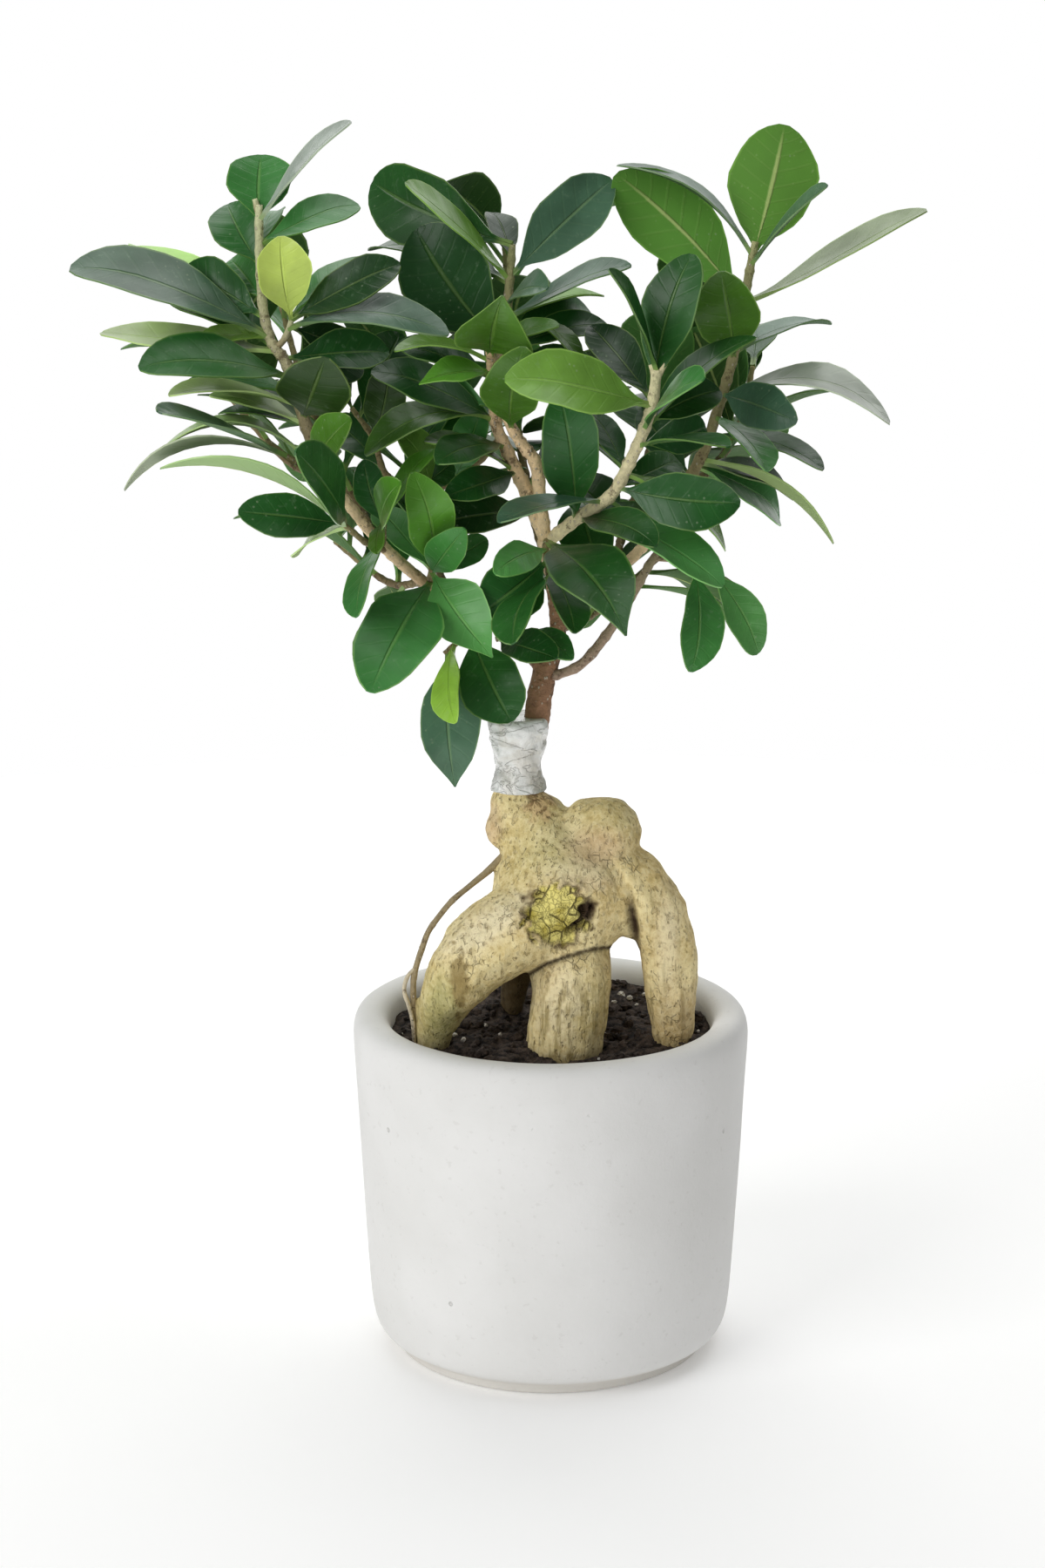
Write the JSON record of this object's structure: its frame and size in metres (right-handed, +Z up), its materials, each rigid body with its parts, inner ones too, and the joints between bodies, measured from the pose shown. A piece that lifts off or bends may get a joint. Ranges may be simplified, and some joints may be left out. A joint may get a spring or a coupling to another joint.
{
  "type": "ficus ginseng bonsai",
  "caption": "Grafted ficus bonsai with a swollen legged rootstock and glossy oval leaves, planted in a plain pale round pot.",
  "frame": {"origin": "centre of the pot's flat underside", "axes": "+Z up along the pot's axis, +X to the right and +Y away from the viewer in the front view"},
  "size_m": [0.2813, 0.188, 0.4332],
  "materials": {
    "pot": "matte off-white cast cement look with fine pits",
    "soil": "dark crumbly peat with white perlite",
    "bark": "smooth tan bark with fine dark pores, cracks and a yellow-green scar",
    "film": "milky wrinkled stretch film",
    "twig": "brown bark with pale specks",
    "foliage": "waxy dark green leaves with pale midribs"
  },
  "bodies": {
    "root": {"pot": "pot", "soil": "soil", "rootstock": "bark", "graft_tape": "film", "scion_wood": "twig", "leafy_stem_left": "foliage", "leafy_twig_left_low": "foliage", "leafy_twig_left_front": "foliage", "leafy_spur_left": "foliage", "leafy_spur_left_outer": "foliage", "leafy_stem_centre": "foliage", "leafy_stem_inner_left": "foliage", "leafy_stem_top": "foliage", "leafy_stem_right_front": "foliage", "leafy_stem_right": "foliage", "leafy_twig_right_low": "foliage", "leafy_spur_trunk": "foliage", "leafy_spur_low": "foliage", "leafy_twig_hanging": "foliage", "leafy_stem_back_left": "foliage", "leafy_stem_back_outer_left": "foliage", "leafy_stem_back_inner_left": "foliage", "leafy_stem_back_centre": "foliage", "leafy_stem_back_right": "foliage", "leafy_stem_back_outer_right": "foliage", "leafy_twig_back_low_left": "foliage", "leafy_twig_back_low_right": "foliage"}
  },
  "joints": []
}
